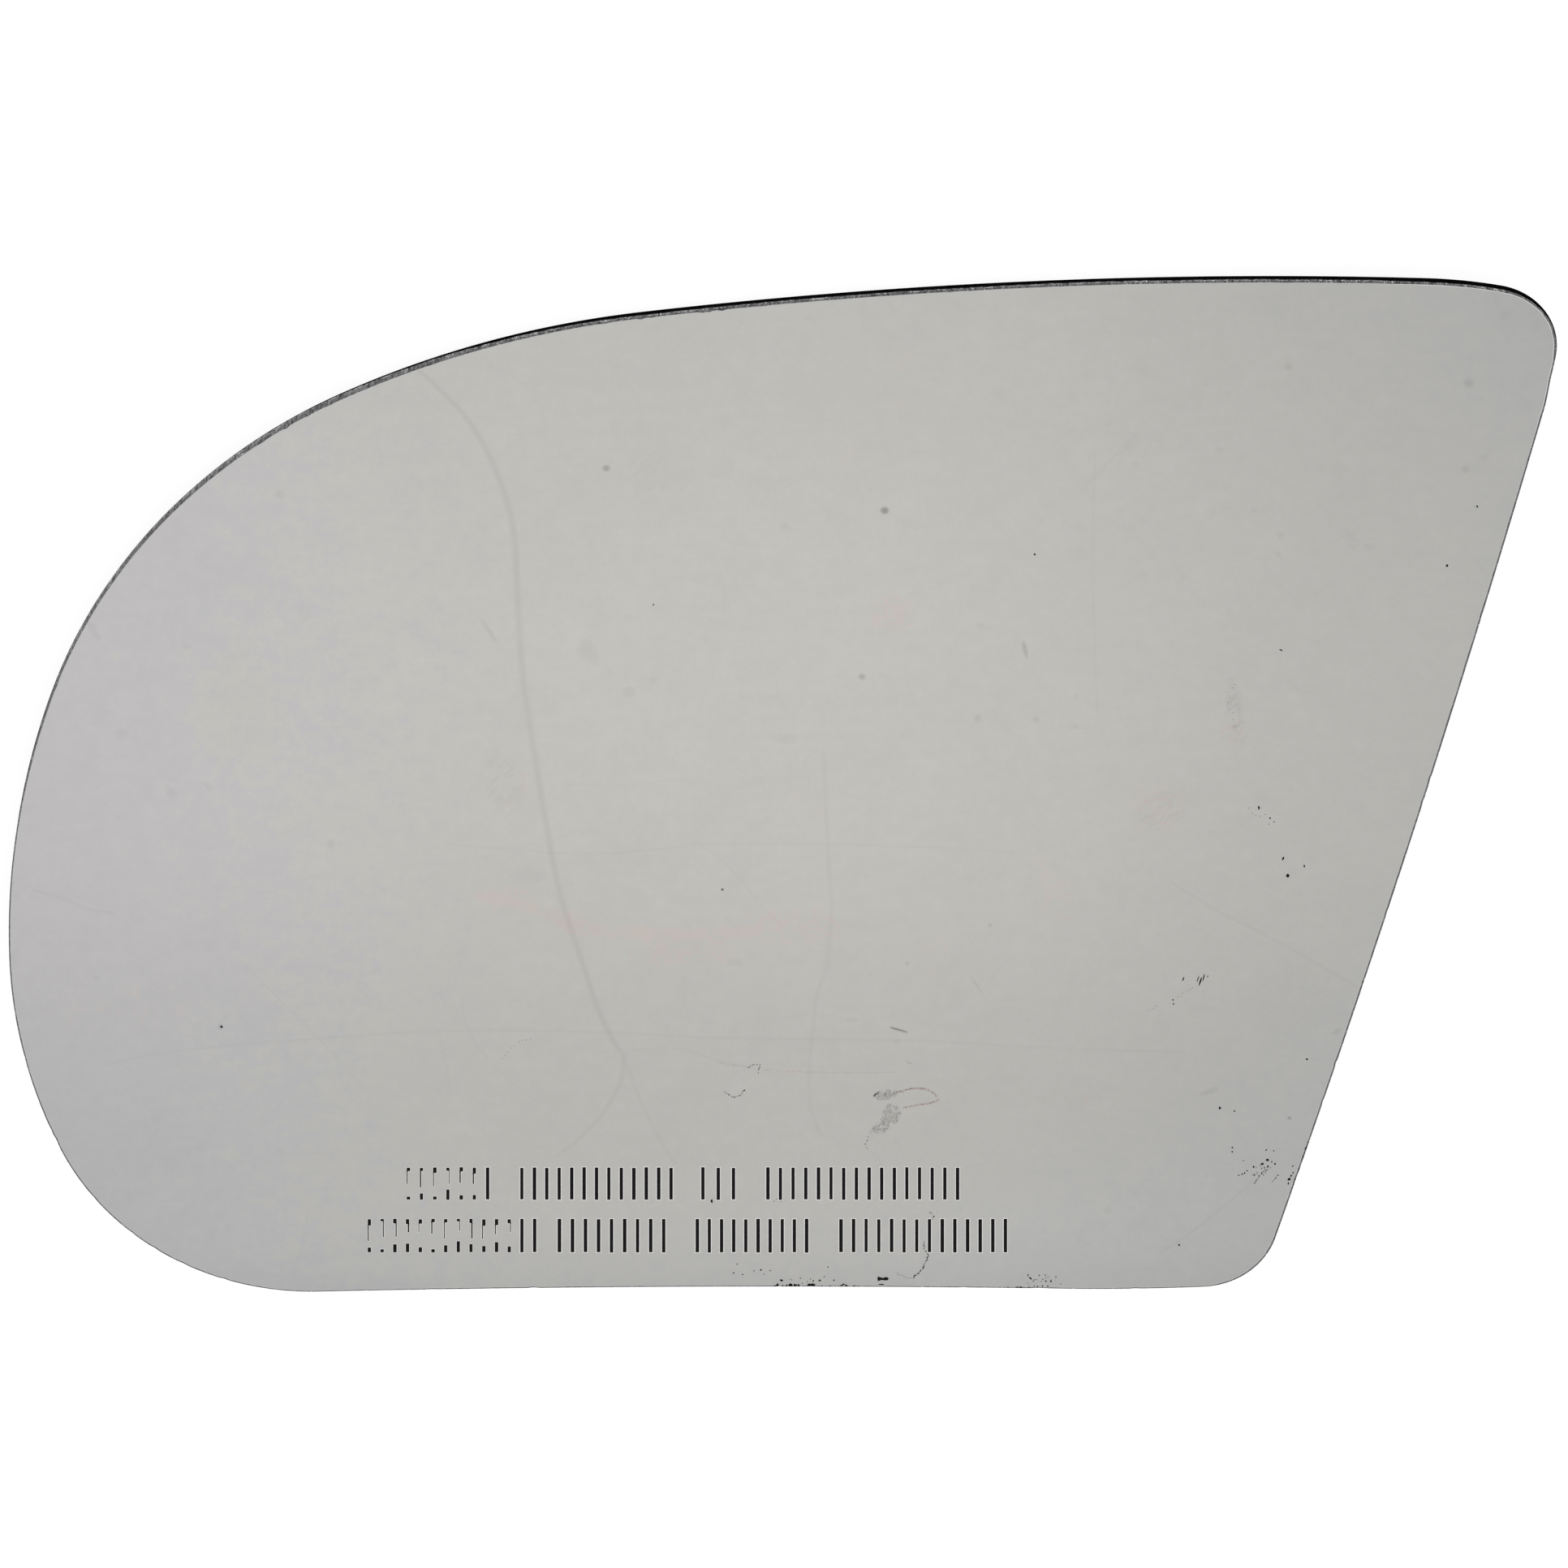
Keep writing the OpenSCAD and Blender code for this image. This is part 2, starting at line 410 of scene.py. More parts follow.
# The silver coat on the hollow back. Marks are in pixels of the photograph.
coat = {
    # The lilac and the low left colours are painted reflections of a soft lamp's edge
    "warm": (0.546, 0.540, 0.514), "lilacReflection": (0.541, 0.529, 0.535),
    "cool": (0.541, 0.541, 0.533), "lowLeftReflection": (0.536, 0.535, 0.542),
    # Painted reflection and shade: brightness across the pane and up it, from its low end to its high end
    "paintedReflectionAcross": [(0.0, 0.965), (0.12, 0.99), (0.3, 1.0), (0.55, 1.0), (0.66, 0.975), (0.8, 0.91),
                   (0.92, 0.86), (1.0, 0.82)],
    "paintedReflectionUp": [(0.0, 0.81), (0.06, 0.878), (0.15, 0.885), (0.25, 0.905), (0.37, 0.955),
               (0.47, 0.985), (0.6, 1.0), (0.72, 0.995), (0.88, 0.965), (1.0, 0.93)],
    # Large soft spots in millimetres: centre, half size, core, strength and turn
    # The heel: painted shade, a little darker round the lower left corner
    "heel": ((-100.0, -78.0), (60.0, 40.0)),
    "warmSpot": ((0.0, 10.0), (132.0, 102.0), 0.55, 1.0, 22.0),
    "yellowed": (292, 872),  # by pixel
    # Soft marks: place, half size across and up, how much darker, and turn
    "spots": [
        (1090, 629, 7, 7, 0.40), (747, 577, 6, 6, 0.28), (1062, 834, 6, 6, 0.22),
        (1263, 800, 4, 14, 0.16, 12), (1208, 771, 7, 6, 0.06), (1205, 885, 7, 6, 0.09),
        (1277, 886, 6, 6, 0.09), (1325, 895, 6, 5, 0.06), (1326, 858, 6, 5, 0.05), (1587, 452, 8, 7, 0.08),
        (1810, 472, 9, 8, 0.12), (1806, 578, 7, 7, 0.10), (1578, 660, 7, 7, 0.06), (1575, 683, 5, 5, 0.06),
        (345, 610, 10, 9, 0.06), (1220, 1140, 4, 4, 0.12), (272, 1265, 5, 5, 0.16), (120, 1205, 6, 5, 0.05),
        (408, 1040, 6, 7, 0.06), (375, 755, 12, 14, 0.03), (230, 797, 7, 7, 0.05),
        (150, 905, 14, 10, 0.05, -20), (210, 975, 7, 14, 0.05, 30), (257, 969, 6, 10, 0.05, 30),
        (775, 853, 12, 9, 0.07), (725, 803, 14, 20, 0.05, 20), (970, 910, 16, 9, 0.05),
        (603, 778, 4, 22, 0.07, 30), (1393, 548, 14, 12, 0.035), (805, 838, 8, 6, 0.05),
        (1203, 1213, 3, 17, 0.07, 32), (1490, 1345, 17, 5, 0.09, 25), (1647, 1271, 9, 4, 0.09, 40),
        (1589, 1378, 4, 4, 0.16), (1365, 1491, 10, 8, 0.05), (1118, 1308, 5, 4, 0.08),
        (1105, 1283, 8, 6, 0.05), (650, 1078, 30, 18, 0.03), (890, 1096, 3, 3, 0.28),
        (1118, 1187, 4, 4, 0.12), (1050, 1257, 11, 3, 0.06), (1121.5, 1310, 2.5, 2.5, 0.14),
        (1588.3, 1377, 2.5, 2.5, 0.16), (1590, 1560, 4, 3, 0.04), (967, 648, 7, 7, 0.04),
        (1545, 628, 6, 6, 0.05), (1665, 668, 10, 16, 0.03, 20), (116, 778, 6, 16, 0.06, 30),
        (905, 1185, 12, 7, 0.04), (545, 425, 9, 8, 0.03), (1411, 457, 10, 9, 0.03), (1503, 407, 9, 8, 0.03),
        (1401, 538, 8, 8, 0.03), (1503, 555, 8, 7, 0.035), (1399, 572, 7, 7, 0.035),
        (1409, 642, 9, 8, 0.03), (1492, 630, 8, 8, 0.03), (1686, 674, 9, 8, 0.035), (1459, 710, 8, 7, 0.03),
        (1408, 707, 7, 7, 0.03), (1828, 563, 8, 8, 0.04), (1642, 380, 8, 7, 0.03),
        (1855, 388, 11, 10, 0.03),
    ],
    # Smears of fine parallel streaks
    "smears": [
        (805, 585, 62, 55, 0.022, -32), (620, 962, 34, 52, 0.035, 10), (1523, 880, 14, 52, 0.06, 8),
        (1430, 1000, 52, 30, 0.03, 38), (1650, 640, 90, 70, 0.015, 30), (300, 880, 90, 60, 0.008),
        (1590, 1230, 90, 60, 0.014, 40),
    ],
    # Faint scratches: points, half width, and how much darker
    "scratches": [
        ([(508, 450), (540, 478), (585, 530), (615, 590), (632, 650), (638, 740), (645, 840), (657, 920),
         (672, 1010), (690, 1100), (715, 1178), (745, 1262), (768, 1300)], 7.0, 0.075),
        ([(768, 1300), (767, 1325), (752, 1358), (725, 1392), (684, 1426)], 5.5, 0.05),
        ([(770, 1302), (785, 1345), (803, 1385), (832, 1434)], 4.6, 0.04),
        ([(1015, 925), (1017, 980), (1021, 1060), (1024, 1120), (1020, 1180), (1006, 1230), (1000, 1285),
         (997, 1340), (1003, 1378), (1024, 1402)], 5.0, 0.038),
        ([(560, 1041), (640, 1047), (720, 1052), (800, 1047), (880, 1040), (1000, 1040), (1120, 1043),
         (1250, 1050)], 3.0, 0.03),
        ([(132, 1312), (264, 1290), (420, 1278), (560, 1270), (740, 1272), (900, 1279), (1140, 1283),
         (1290, 1291), (1455, 1296)], 3.2, 0.035),
        ([(568, 1226), (578, 1270), (608, 1312), (662, 1358)], 3.0, 0.025),
        ([(1332, 606), (1350, 586), (1374, 562), (1396, 546)], 3.0, 0.03),
        ([(780, 1295), (830, 1292), (880, 1305), (935, 1318)], 3.0, 0.035),
        ([(1440, 1085), (1500, 1122), (1570, 1158), (1672, 1216)], 3.0, 0.04),
        ([(862, 1040), (900, 1070), (935, 1112), (968, 1146)], 3.0, 0.025),
        ([(40, 1096), (80, 1108), (112, 1121), (140, 1124)], 3.2, 0.045),
        ([(300, 1188), (335, 1222), (385, 1272), (452, 1345)], 3.0, 0.025),
        ([(540, 1268), (548, 1305), (556, 1350)], 3.0, 0.025),
        ([(690, 965), (760, 968), (830, 962), (915, 972)], 3.0, 0.02),
        ([(1544, 1455), (1512, 1483), (1460, 1524), (1429, 1544)], 2.6, 0.05),
        ([(1097, 1266), (1106, 1268.4), (1118, 1272)], 2.4, 0.34),
        ([(380, 1490), (372, 1530), (360, 1572)], 2.6, 0.03),
        ([(1350, 560), (1346, 680), (1349, 800), (1352, 880)], 3.0, 0.028),
    ],
    # A warm stain, and thin reddish lines
    "stainStreaks": [
        ([(584, 1102), (630, 1111), (676, 1128), (716, 1143), (790, 1150), (870, 1150),
         (935, 1146)], 15.0, 1.0),
    ],
    "redLines": [
        ([(1100, 1347.5), (1112, 1344), (1124, 1341.2), (1136, 1341.4)], 2.0, 1.0),
        ([(1134, 1341.2), (1142, 1342.4), (1149, 1345.8), (1156.5, 1354)], 2.2, 1.0),
        ([(1113, 1365), (1120, 1363.6), (1132, 1361.2), (1144, 1359.6), (1156, 1355.6)], 2.2, 1.0),
        ([(1098, 1266.4), (1106, 1268.4), (1114, 1271)], 1.6, 0.7),
        ([(880, 1308), (900, 1312), (925, 1315)], 1.1, 0.5),
        ([(940, 1318), (1000, 1321), (1104, 1321)], 1.4, 0.3),
    ],
    # Pinkish speckles
    "speckles": [
        (985, 1321, 26, 8, 0.35), (1098, 758, 42, 42, 0.4), (975, 1142, 100, 32, 0.32),
        (840, 1170, 100, 40, 0.27), (1426, 995, 64, 66, 0.27), (1296, 1096, 44, 80, 0.22, 20),
        (1519, 900, 26, 36, 0.28), (640, 980, 50, 76, 0.17), (1000, 980, 90, 170, 0.15),
        (1330, 1358, 18, 10, 0.32), (1160, 1180, 110, 80, 0.16), (150, 1245, 180, 60, 0.17),
        (625, 1106, 50, 22, 0.32), (705, 1136, 56, 20, 0.36, -20), (1080, 500, 140, 210, 0.145),
    ],
    # Scuffed patches, worn down to a duller layer
    "scuffs": [
        (1091, 1349, 19, 8, 0.95, 10), (1098, 1373, 15, 18, 0.9, -20), (1086, 1389, 15, 11, 0.72, 40),
        (1076, 1395, 7, 10, 0.6, -20),
    ],
    "stainTint": (0.575, 0.522, 0.484),
    "speckleTint": (0.566, 0.518, 0.500),
    "redTint": (0.370, 0.270, 0.265),
    "darkest": 0.85,  # most that the marks take away together
    "roughness": 0.36,
}


def silverCoat():
    place = newFinish("silverCoat").place()
    axes = place.split()
    x, y = axes[:2]
    # Painted reflection and shade: the coat's brightness across the pane and up it
    across = ((x + pane["width"] / 2) / pane["width"]).curved(coat["paintedReflectionAcross"])
    paintedReflectionUpwards = ((y + pane["height"] / 2) / pane["height"]).curved(coat["paintedReflectionUp"])
    heel = place.spot(*coat["heel"])
    cloud = place.noise(0.035, 3.0, 0.6)
    blotch = place.noise(0.16, 3.0, 0.7)
    patch = place.noise(0.55, 4.0, 0.72)
    grain = place.noise(1.6, 3.0, 0.6)
    scuffGrain = place.noise(4.4, 2.0, 0.7)
    streak = place.stretched((0.035, 0.5, 1.0), 2.0).noise(1.0, 4.0, 0.65)
    fineStreak = place.stretched((0.12, 2.2, 1.0), -1.5).noise(1.0, 3.0, 0.6)
    smearGrain = place.stretched((2.0, 0.7, 1.0), 48.0, "TEXTURE").noise(1.0, 2.0, 0.65)

    spots = place.spots(coat["spots"], 0.25)
    smears = place.spots(coat["smears"], 0.0)
    lines = lineMasks(axes, coat["scratches"])
    stains = lineMasks(axes, coat["stainStreaks"])
    speckles = place.spots(coat["speckles"], 0.2)
    redLines = lineMasks(axes, coat["redLines"])
    scuffs = place.spots(coat["scuffs"], 0.5)

    # The coat is warm in the middle and cool round it; the lilac at the left end is a painted reflection of
    # a soft lamp's edge
    uneven = blotch - 0.5
    speckle = patch - 0.5
    left = (x + uneven * 70.0 + speckle * 110.0).step(-48.0, -74.0)
    warmth = place.spot(*coat["warmSpot"])
    warmth = (warmth + uneven * 0.6 + speckle * 1.6).step(0.3, 0.7)
    warmth = warmth * (1.0 - left * 0.85)
    yellowed = place.spot(onPane(coat["yellowed"]), (9.0, 15.0), 0.1)
    warmth = warmth + (yellowed + speckle * 2.5 + uneven).step(0.5, 0.8) * 0.8
    far = y.step(-22.0, -50.0).blend(coat["lilacReflection"], coat["lowLeftReflection"])
    colour = left.blend(coat["cool"], far)
    colour = warmth.blend(colour, coat["warm"])
    # Noise breaks the marks up
    stained = (stains * (speckle * 4.0 + uneven * 2.0 + 1.0)).step(0.15, 0.95)
    colour = (stained * 0.75).blend(colour, coat["stainTint"])
    speckled = (speckles * ((grain - 0.5) * 8.0 + speckle * 4.0 + 1.0)).step(0.26, 0.36)
    colour = speckled.blend(colour, coat["speckleTint"])
    ragged = scuffGrain.step(0.42, 0.56)
    colour = (redLines * ragged).blend(colour, coat["redTint"])
    scuffed = (scuffs * ((grain - 0.5) * 5.0 + speckle * 2.0 + 1.0)).step(0.3, 0.9)

    # Brightness: the painted reflection and shade of the whole pane, less the marks, times the mottling
    smeared = (smearGrain + speckle * 0.6).step(0.38, 0.66)
    dark = spots + lines * (speckle * 2.0 + 1.0) + smears * smeared * 2.0
    dark = dark + scuffed * (0.03 + ragged * 0.30)
    mottle = (cloud - 0.5) * 0.04 + (streak - 0.5) * 0.035 + speckle * 0.11
    mottle = mottle + (fineStreak - 0.5) * 0.02 + (grain - 0.5) * 0.03 + uneven * 0.055
    kept = 1.0 - dark.maths("MINIMUM", dark, coat["darkest"])
    tone = across * paintedReflectionUpwards * (1.0 - heel * 0.03) * kept * (mottle + 1.0)
    rough = coat["roughness"] + (cloud - 0.5) * 0.10 + spots * 0.3 + scuffed * 0.2
    relief = (grain * 0.4 + fineStreak * 0.6).bump(0.04, 0.0001)
    return place.surface({
        "Base Color": tone.shade(colour), "Metallic": 1.0, "Roughness": rough, "Normal": relief})


# The mirror, seen through the glass
front = {
    "silver": (0.83, 0.845, 0.85),
    "haze": 0.018,
    "wipeMarks": 0.035,  # how much rougher dust and wipe marks are
    "glassIor": 1.52,
}


def mirrorFront():
    place = newFinish("mirrorFront").place()
    dust = place.noise(0.25, 5.0, 0.7)
    wiped = place.stretched((0.03, 0.35, 1.0), 18.0).noise(1.0, 4.0, 0.6)
    rough = front["haze"] + (dust * wiped).step(0.22, 0.5) * front["wipeMarks"]
    colour = (0.985 + (wiped - 0.5) * 0.03).shade(front["silver"])
    return place.surface({
        "Base Color": colour, "Metallic": 1.0, "Roughness": rough,
        "Coat Weight": 1.0, "Coat Roughness": 0.01, "Coat IOR": front["glassIor"]})


# The cut rim: the coat's raised edge, the bare strip, the scored band and the smooth break.
# Depths are below the back's edge.
rim = {
    "bead": 0.09,  # width of the coat's raised edge
    # Width of the bare strip between the coat and the wall, by side
    "arris": {"top": 0.08, "right": 0.24, "bottom": 0.15, "left": 0.18},
    "wallRows": 11,
    "wallTop": 0.02,  # how far the wall's first row lies below the back
    "wallFoot": 0.03,  # and its last row above the front's edge
    "frontLip": 0.05,
    # How far the back edge stands in beside the tip, where the cut leans, how far past the
    # start of the tip's arc that is, and its reach along the rim, full and faded
    "tipFlare": 0.28, "flarePast": -0.5, "flareReach": (1.5, 6.5), "leanPower": 1.2,
    # The coat's shining edge beside the tip is a painted highlight
    "shinePast": 8.0,  # the same for the coat's shining edge and the broader black
    "shineReach": (13.0, 26.0),
    "hackleDepth": 0.035,
    "scoredFrom": (0.0, 0.15),  # depths where the ridges rise, and where they fade
    "scoredTo": (0.9, 1.5),
    "bites": 46, "biteDepth": (0.02, 0.09), "biteWidth": (0.25, 0.8), "biteDown": 0.7,
    "tipBites": 0.85,  # how much shallower they are beside the tip
    # Larger ones on the top edge, by pixel
    "bigBites": [(867, 386), (874, 386), (891, 384), (788, 388), (355, 531)],
    "bigWidth": 0.36, "bigDepth": 0.16,
    "seed": 11,
    "blackFrom": 0.92,  # depth where the black break starts
    "tipBlackFrom": 0.62,
    "blackWaver": 0.16,
    "blackEnds": (-84.0, -12.0),  # along X, where it thins out on the top edge
    "sharpFrom": 38.0,  # degrees between faces whose edge is shaded sharp
    "black": (0.0025, 0.0025, 0.0027),
    "grey": (0.137, 0.137, 0.141),
    # The bare strip as painted lit and shaded copies: lighter on the top edge, darker on the other sides
    "arrisLitTop": (0.28, 0.28, 0.28), "arrisShadedSide": (0.15, 0.15, 0.155),
    # Painted glints on the scored band
    "glint": (0.76, 0.76, 0.76),
    # The coat's raised edge: its own colour, and a painted highlight that it takes beside the tip
    "beadDull": (0.52, 0.52, 0.515), "beadPaintedHighlight": (0.68, 0.68, 0.675),
}


# A smooth rise from 0 to 1 between two values
def rise(value, start, end):
    share = np.clip((value - start) / (end - start), 0.0, 1.0)
    return share * share * (3 - 2 * share)


# Random values on even points round the rim, joined by straight lines
def roundNoise(dice, path, cell):
    count = int(path["length"] / cell)
    nodes = np.arange(count) * path["length"] / count
    return np.interp(path["along"], nodes, dice.random(count), period=path["length"])


def rimShape():
    path = rimPath(pane["rimSteps"])
    dice = np.random.default_rng(rim["seed"])
    along, length = path["along"], path["length"]
    fromFlare = np.abs(along - path["tipStart"] - rim["flarePast"])
    path["flare"] = rim["tipFlare"] * (1.0 - rise(fromFlare, *rim["flareReach"]))
    ridges = roundNoise(dice, path, 0.5) * 0.5
    ridges += roundNoise(dice, path, 1.4) * 0.3 + roundNoise(dice, path, 5.0) * 0.2
    path["ridges"] = ridges
    # Flakes bitten out of the back edge: a bell curve for each, the deepest wins
    named = onPane(rim["bigBites"])
    gap = np.linalg.norm(path["points"][None] - named[:, None], axis=-1)
    count, more = rim["bites"], len(named)
    centres = np.concatenate([dice.random(count) * length, along[gap.argmin(axis=1)]])
    widths = np.concatenate([dice.uniform(*rim["biteWidth"], count), np.full(more, rim["bigWidth"])])
    depths = np.concatenate([dice.uniform(*rim["biteDepth"], count), np.full(more, rim["bigDepth"])])
    away = np.abs(along[None] - centres[:, None])
    away = np.minimum(away, length - away)
    path["bites"] = (depths[:, None] * np.exp(-(away / widths[:, None]) ** 2)).max(axis=0)
    path["bites"] *= 1.0 - rim["tipBites"] * path["flare"] / rim["tipFlare"]
    # The bare strip's width changes with the way that the rim faces
    arris = rim["arris"]
    x, y = path["outward"].T
    side = np.where(x > 0, arris["right"], arris["left"])
    ends = np.where(y > 0, arris["top"], arris["bottom"])
    path["arris"] = ends + (side - ends) * rise(np.abs(x) - np.maximum(y, 0.0), 0.0, 0.7)
    path["arris"] *= 0.8 + 0.4 * ridges
    return path


# The whole pane: one profile from the middle of the back, over the rim and to the middle of
# the front, carried round the outline. Rows run along the profile and columns round the rim.
def glassPane(path, materials):
    hub = np.array(pane["hub"])
    outline, outward = path["points"], path["outward"]
    backEdge = path["flare"] + path["bites"]

    def inset(distance):
        return outline - outward * distance[:, None]

    def rings(edge, count, height):
        shares = np.arange(1, count + 1) / count
        plan = hub + shares[:, None, None] * (edge - hub)
        return lifted(plan, height(plan))

    coatEdge = inset(backEdge + path["arris"] + rim["bead"])
    backRings = rings(coatEdge, pane["backRings"], backHeight)
    lip = inset(backEdge + path["arris"])

    # Down the wall the lean and the flakes fade, and ridges stand in the scored band
    depth = np.linspace(0.0, pane["thickness"] - rim["wallFoot"], rim["wallRows"])
    share = (depth / pane["thickness"])[:, None]
    lean = path["flare"] * (1.0 - share) ** rim["leanPower"]
    bitten = path["bites"] * np.clip(1.0 - depth[:, None] / rim["biteDown"], 0.0, 1.0)
    scored = rise(depth, *rim["scoredFrom"]) * (1.0 - rise(depth, *rim["scoredTo"]))
    wallInset = lean + bitten + rim["hackleDepth"] * scored[:, None] * path["ridges"]
    wall = outline - outward * wallInset[..., None]
    top, foot = backHeight(outline), frontHeight(outline)
    wallHeight = top - rim["wallTop"] - (top - rim["wallTop"] - foot) * share

    frontEdge = outline - outward * rim["frontLip"]
    frontRings = rings(frontEdge, pane["frontRings"], frontHeight)[::-1]
    lipRow = lifted(lip, backHeight(lip))[None]
    rows = np.concatenate([backRings, lipRow, lifted(wall, wallHeight), frontRings])

    count = len(outline)
    grid = np.arange(rows.shape[0] * count).reshape(-1, count)
    after = np.roll(grid, -1, axis=1)
    quads = np.stack([grid[:-1], grid[1:], after[1:], after[:-1]], axis=-1)
    poles = np.array([[*hub, backHeight(hub)], [*hub, frontHeight(hub)]])
    points = np.concatenate([rows.reshape(-1, 3), poles])
    backFan = np.stack([np.full(count, len(points) - 2), grid[0], after[0]], axis=-1)
    frontFan = np.stack([np.full(count, len(points) - 1), after[-1], grid[-1]], axis=-1)
    faces = quads.reshape(-1, 4).tolist() + backFan.tolist() + frontFan.tolist()

    rimFirst = pane["backRings"] - 1
    rimLast = rimFirst + 2 + rim["wallRows"]
    bands = np.repeat([0, 1, 2], [rimFirst, rimLast - rimFirst, len(quads) - rimLast])
    slots = np.concatenate([np.repeat(bands, count), np.zeros(count), np.full(count, 2)])
    piece = addObject("glassPane", points, faces, materials, slots.astype(np.int32))

    # For the rim's material: place across it, 0 to 1 over the bead, 1 to 2 over the bare strip
    # and then 2 plus the depth, and where the black break starts, on the same scale
    across = np.zeros(len(rows))
    across[rimFirst + 1] = 1.0
    across[rimFirst + 2:rimLast] = 2.0 + depth
    across[rimLast:] = 2.0 + pane["thickness"]
    dice = np.random.default_rng(rim["seed"] + 1)
    waver = roundNoise(dice, path, 0.7) - 0.5
    waver += roundNoise(dice, path, 9.0) - 0.5
    topSide = rise(outward[:, 1], 0.2, 0.6)
    faded = topSide * (1.0 - rise(outline[:, 0], *rim["blackEnds"]))
    # Beside the tip the coat's edge takes a painted highlight, and the black starts higher
    fromTip = np.abs(path["along"] - path["tipStart"] - rim["shinePast"])
    shine = 1.0 - rise(fromTip, *rim["shineReach"])
    black = rim["blackFrom"] + (rim["tipBlackFrom"] - rim["blackFrom"]) * shine
    black = 2.0 + black + rim["blackWaver"] * waver + faded
    layers = {"acrossRim": across[:, None], "blackFrom": black, "beadShine": shine, "topSide": topSide}
    for name, values in layers.items():
        spread = np.broadcast_to(values, rows.shape[:2])
        layer = piece.data.attributes.new(name, "FLOAT", "POINT")
        layer.data.foreach_set("value", np.append(spread, [0.0, 0.0]).astype(np.float32))
    piece.data.polygons.foreach_set("use_smooth", np.ones(len(faces), bool))
    piece.data.set_sharp_from_angle(angle=math.radians(rim["sharpFrom"]))
    print("pane:", len(points), "points,", len(quads) * count * 2 + 2 * count, "triangles")
    return piece


def cutRim():
    place = newFinish("cutRim").place()
    across, blackFrom, beadShine, topSide = (
        place.node("Attribute", {"attribute_name": name}, None, "Fac")
        for name in ("acrossRim", "blackFrom", "beadShine", "topSide"))
    x = place.split()[0]
    # Marks across the rim: noise that hardly changes with height
    upright = place.stretched((1.0, 1.0, 0.22))
    fine = upright.noise(3.4, 3.0, 0.7)
    coarse = upright.noise(0.9, 2.0, 0.6)
    specks = place.noise(6.0, 2.0, 0.6)
    ticks = upright.noise(3.0, 2.0, 0.6).step(0.56, 0.64)
    hackle = fine.step(0.34, 0.68) * 1.2 + 0.36
    # Painted glints: bright specks, more of them just above the black
    deeper = across - blackFrom
    brink = deeper.step(-0.6, -0.3) * deeper.step(-0.05, 0.15, 1.0, 0.0)
    glint = (specks + (coarse - 0.5) * 0.4 + brink * 0.07).step(0.62, 0.7)
    # Towards the left end the lower half of the break is paler
    farLeft = x.step(-56.0, -68.0) * across.step(2.7, 3.3)
    paler = x.step(-22.0, -50.0) * 0.08 + farLeft * 0.25 + 1.0
    # It is darker along both of its edges
    edges = across.step(2.0, 2.3, 0.75, 1.0) * across.step(3.6, 3.9, 1.0, 0.5)
    grey = ((hackle + ticks * 0.4) * paler * edges).shade(rim["grey"])
    grey = glint.blend(grey, rim["glint"])
    broken = deeper.step(-0.2, 0.14)
    wall = broken.blend(grey, rim["black"])
    # Painted light and shade: the bare strip is lighter on the top edge than on the other sides
    arris = topSide.blend(rim["arrisShadedSide"], rim["arrisLitTop"])
    arris = (hackle * 0.4 + 0.55).shade(arris)
    colour = across.step(1.1, 2.0).blend(arris, wall)
    onBead = across.step(0.7, 1.1, 1.0, 0.0)
    # Beside the tip the coat's edge takes a painted highlight
    bead = beadShine.blend(rim["beadDull"], rim["beadPaintedHighlight"])
    colour = onBead.blend(colour, bead)
    rough = 0.5 - broken * 0.38 - onBead * 0.15
    relief = (fine * (1.0 - broken)).bump(0.5, 0.00008)
    return place.surface({
        "Base Color": colour, "Roughness": rough, "Metallic": onBead,
        "Specular IOR Level": 0.0, "Normal": relief})


# Bare glass where the coat is gone: dark, because nothing pale lies behind it
bare = {
    "glass": (0.0045, 0.0048, 0.0050),
    "burr": (0.75, 0.735, 0.72),  # the coat's pale edge round the strokes
    "proud": 0.03, "sink": 0.02,
    "edgeGap": 0.02,  # least distance between a bare patch and the rim
}


def bareGlass():
    film = newFinish("bareGlass").place().noise(1.2, 3.0, 0.7)
    return film.surface({
        "Base Color": (0.7 + film * 0.6).shade(bare["glass"]),
        "Roughness": 0.16 + film * 0.12, "Specular IOR Level": 0.08})


def paleBurr():
    film = newFinish("paleBurr").place().noise(2.0, 3.0, 0.7)
    return film.surface({
        "Base Color": (0.82 + film * 0.36).shade(bare["burr"]), "Metallic": 1.0, "Roughness": 0.3})


# Closed plates a few hundredths thick over outlines in the plan, an array of plates by
# corners. Each plate follows the face that it lies on.
def addPlates(name, outlines, material, height, low, high):
    outlines = keepInside(outlines, rimLine)
    count, corners = outlines.shape[:2]
    level = height(outlines)
    points = np.concatenate([lifted(outlines, level + side).reshape(-1, 3) for side in (high, low)])
    top = np.arange(count * corners).reshape(count, corners)
    foot = top + count * corners
    sides = np.stack([top, foot, np.roll(foot, -1, 1), np.roll(top, -1, 1)], axis=-1)
    faces = top.tolist() + foot[:, ::-1].tolist() + sides.reshape(-1, 4).tolist()
    return addObject(name, points, faces, [material])


# A corner past the rim comes back inside it, against the way that the nearest point faces.
def keepInside(outlines, path):
    corners = outlines.reshape(-1, 2)
    rimPoints = path["points"]
    apart = (rimPoints ** 2).sum(axis=-1) - 2 * corners @ rimPoints.T
    nearest = apart.argmin(axis=1)
    outward = path["outward"][nearest]
    inside = bare["edgeGap"] + path["flare"][nearest]
    past = ((corners - rimPoints[nearest]) * outward).sum(axis=-1) + inside
    kept = corners - outward * np.maximum(past, 0.0)[:, None]
    return kept.reshape(outlines.shape)


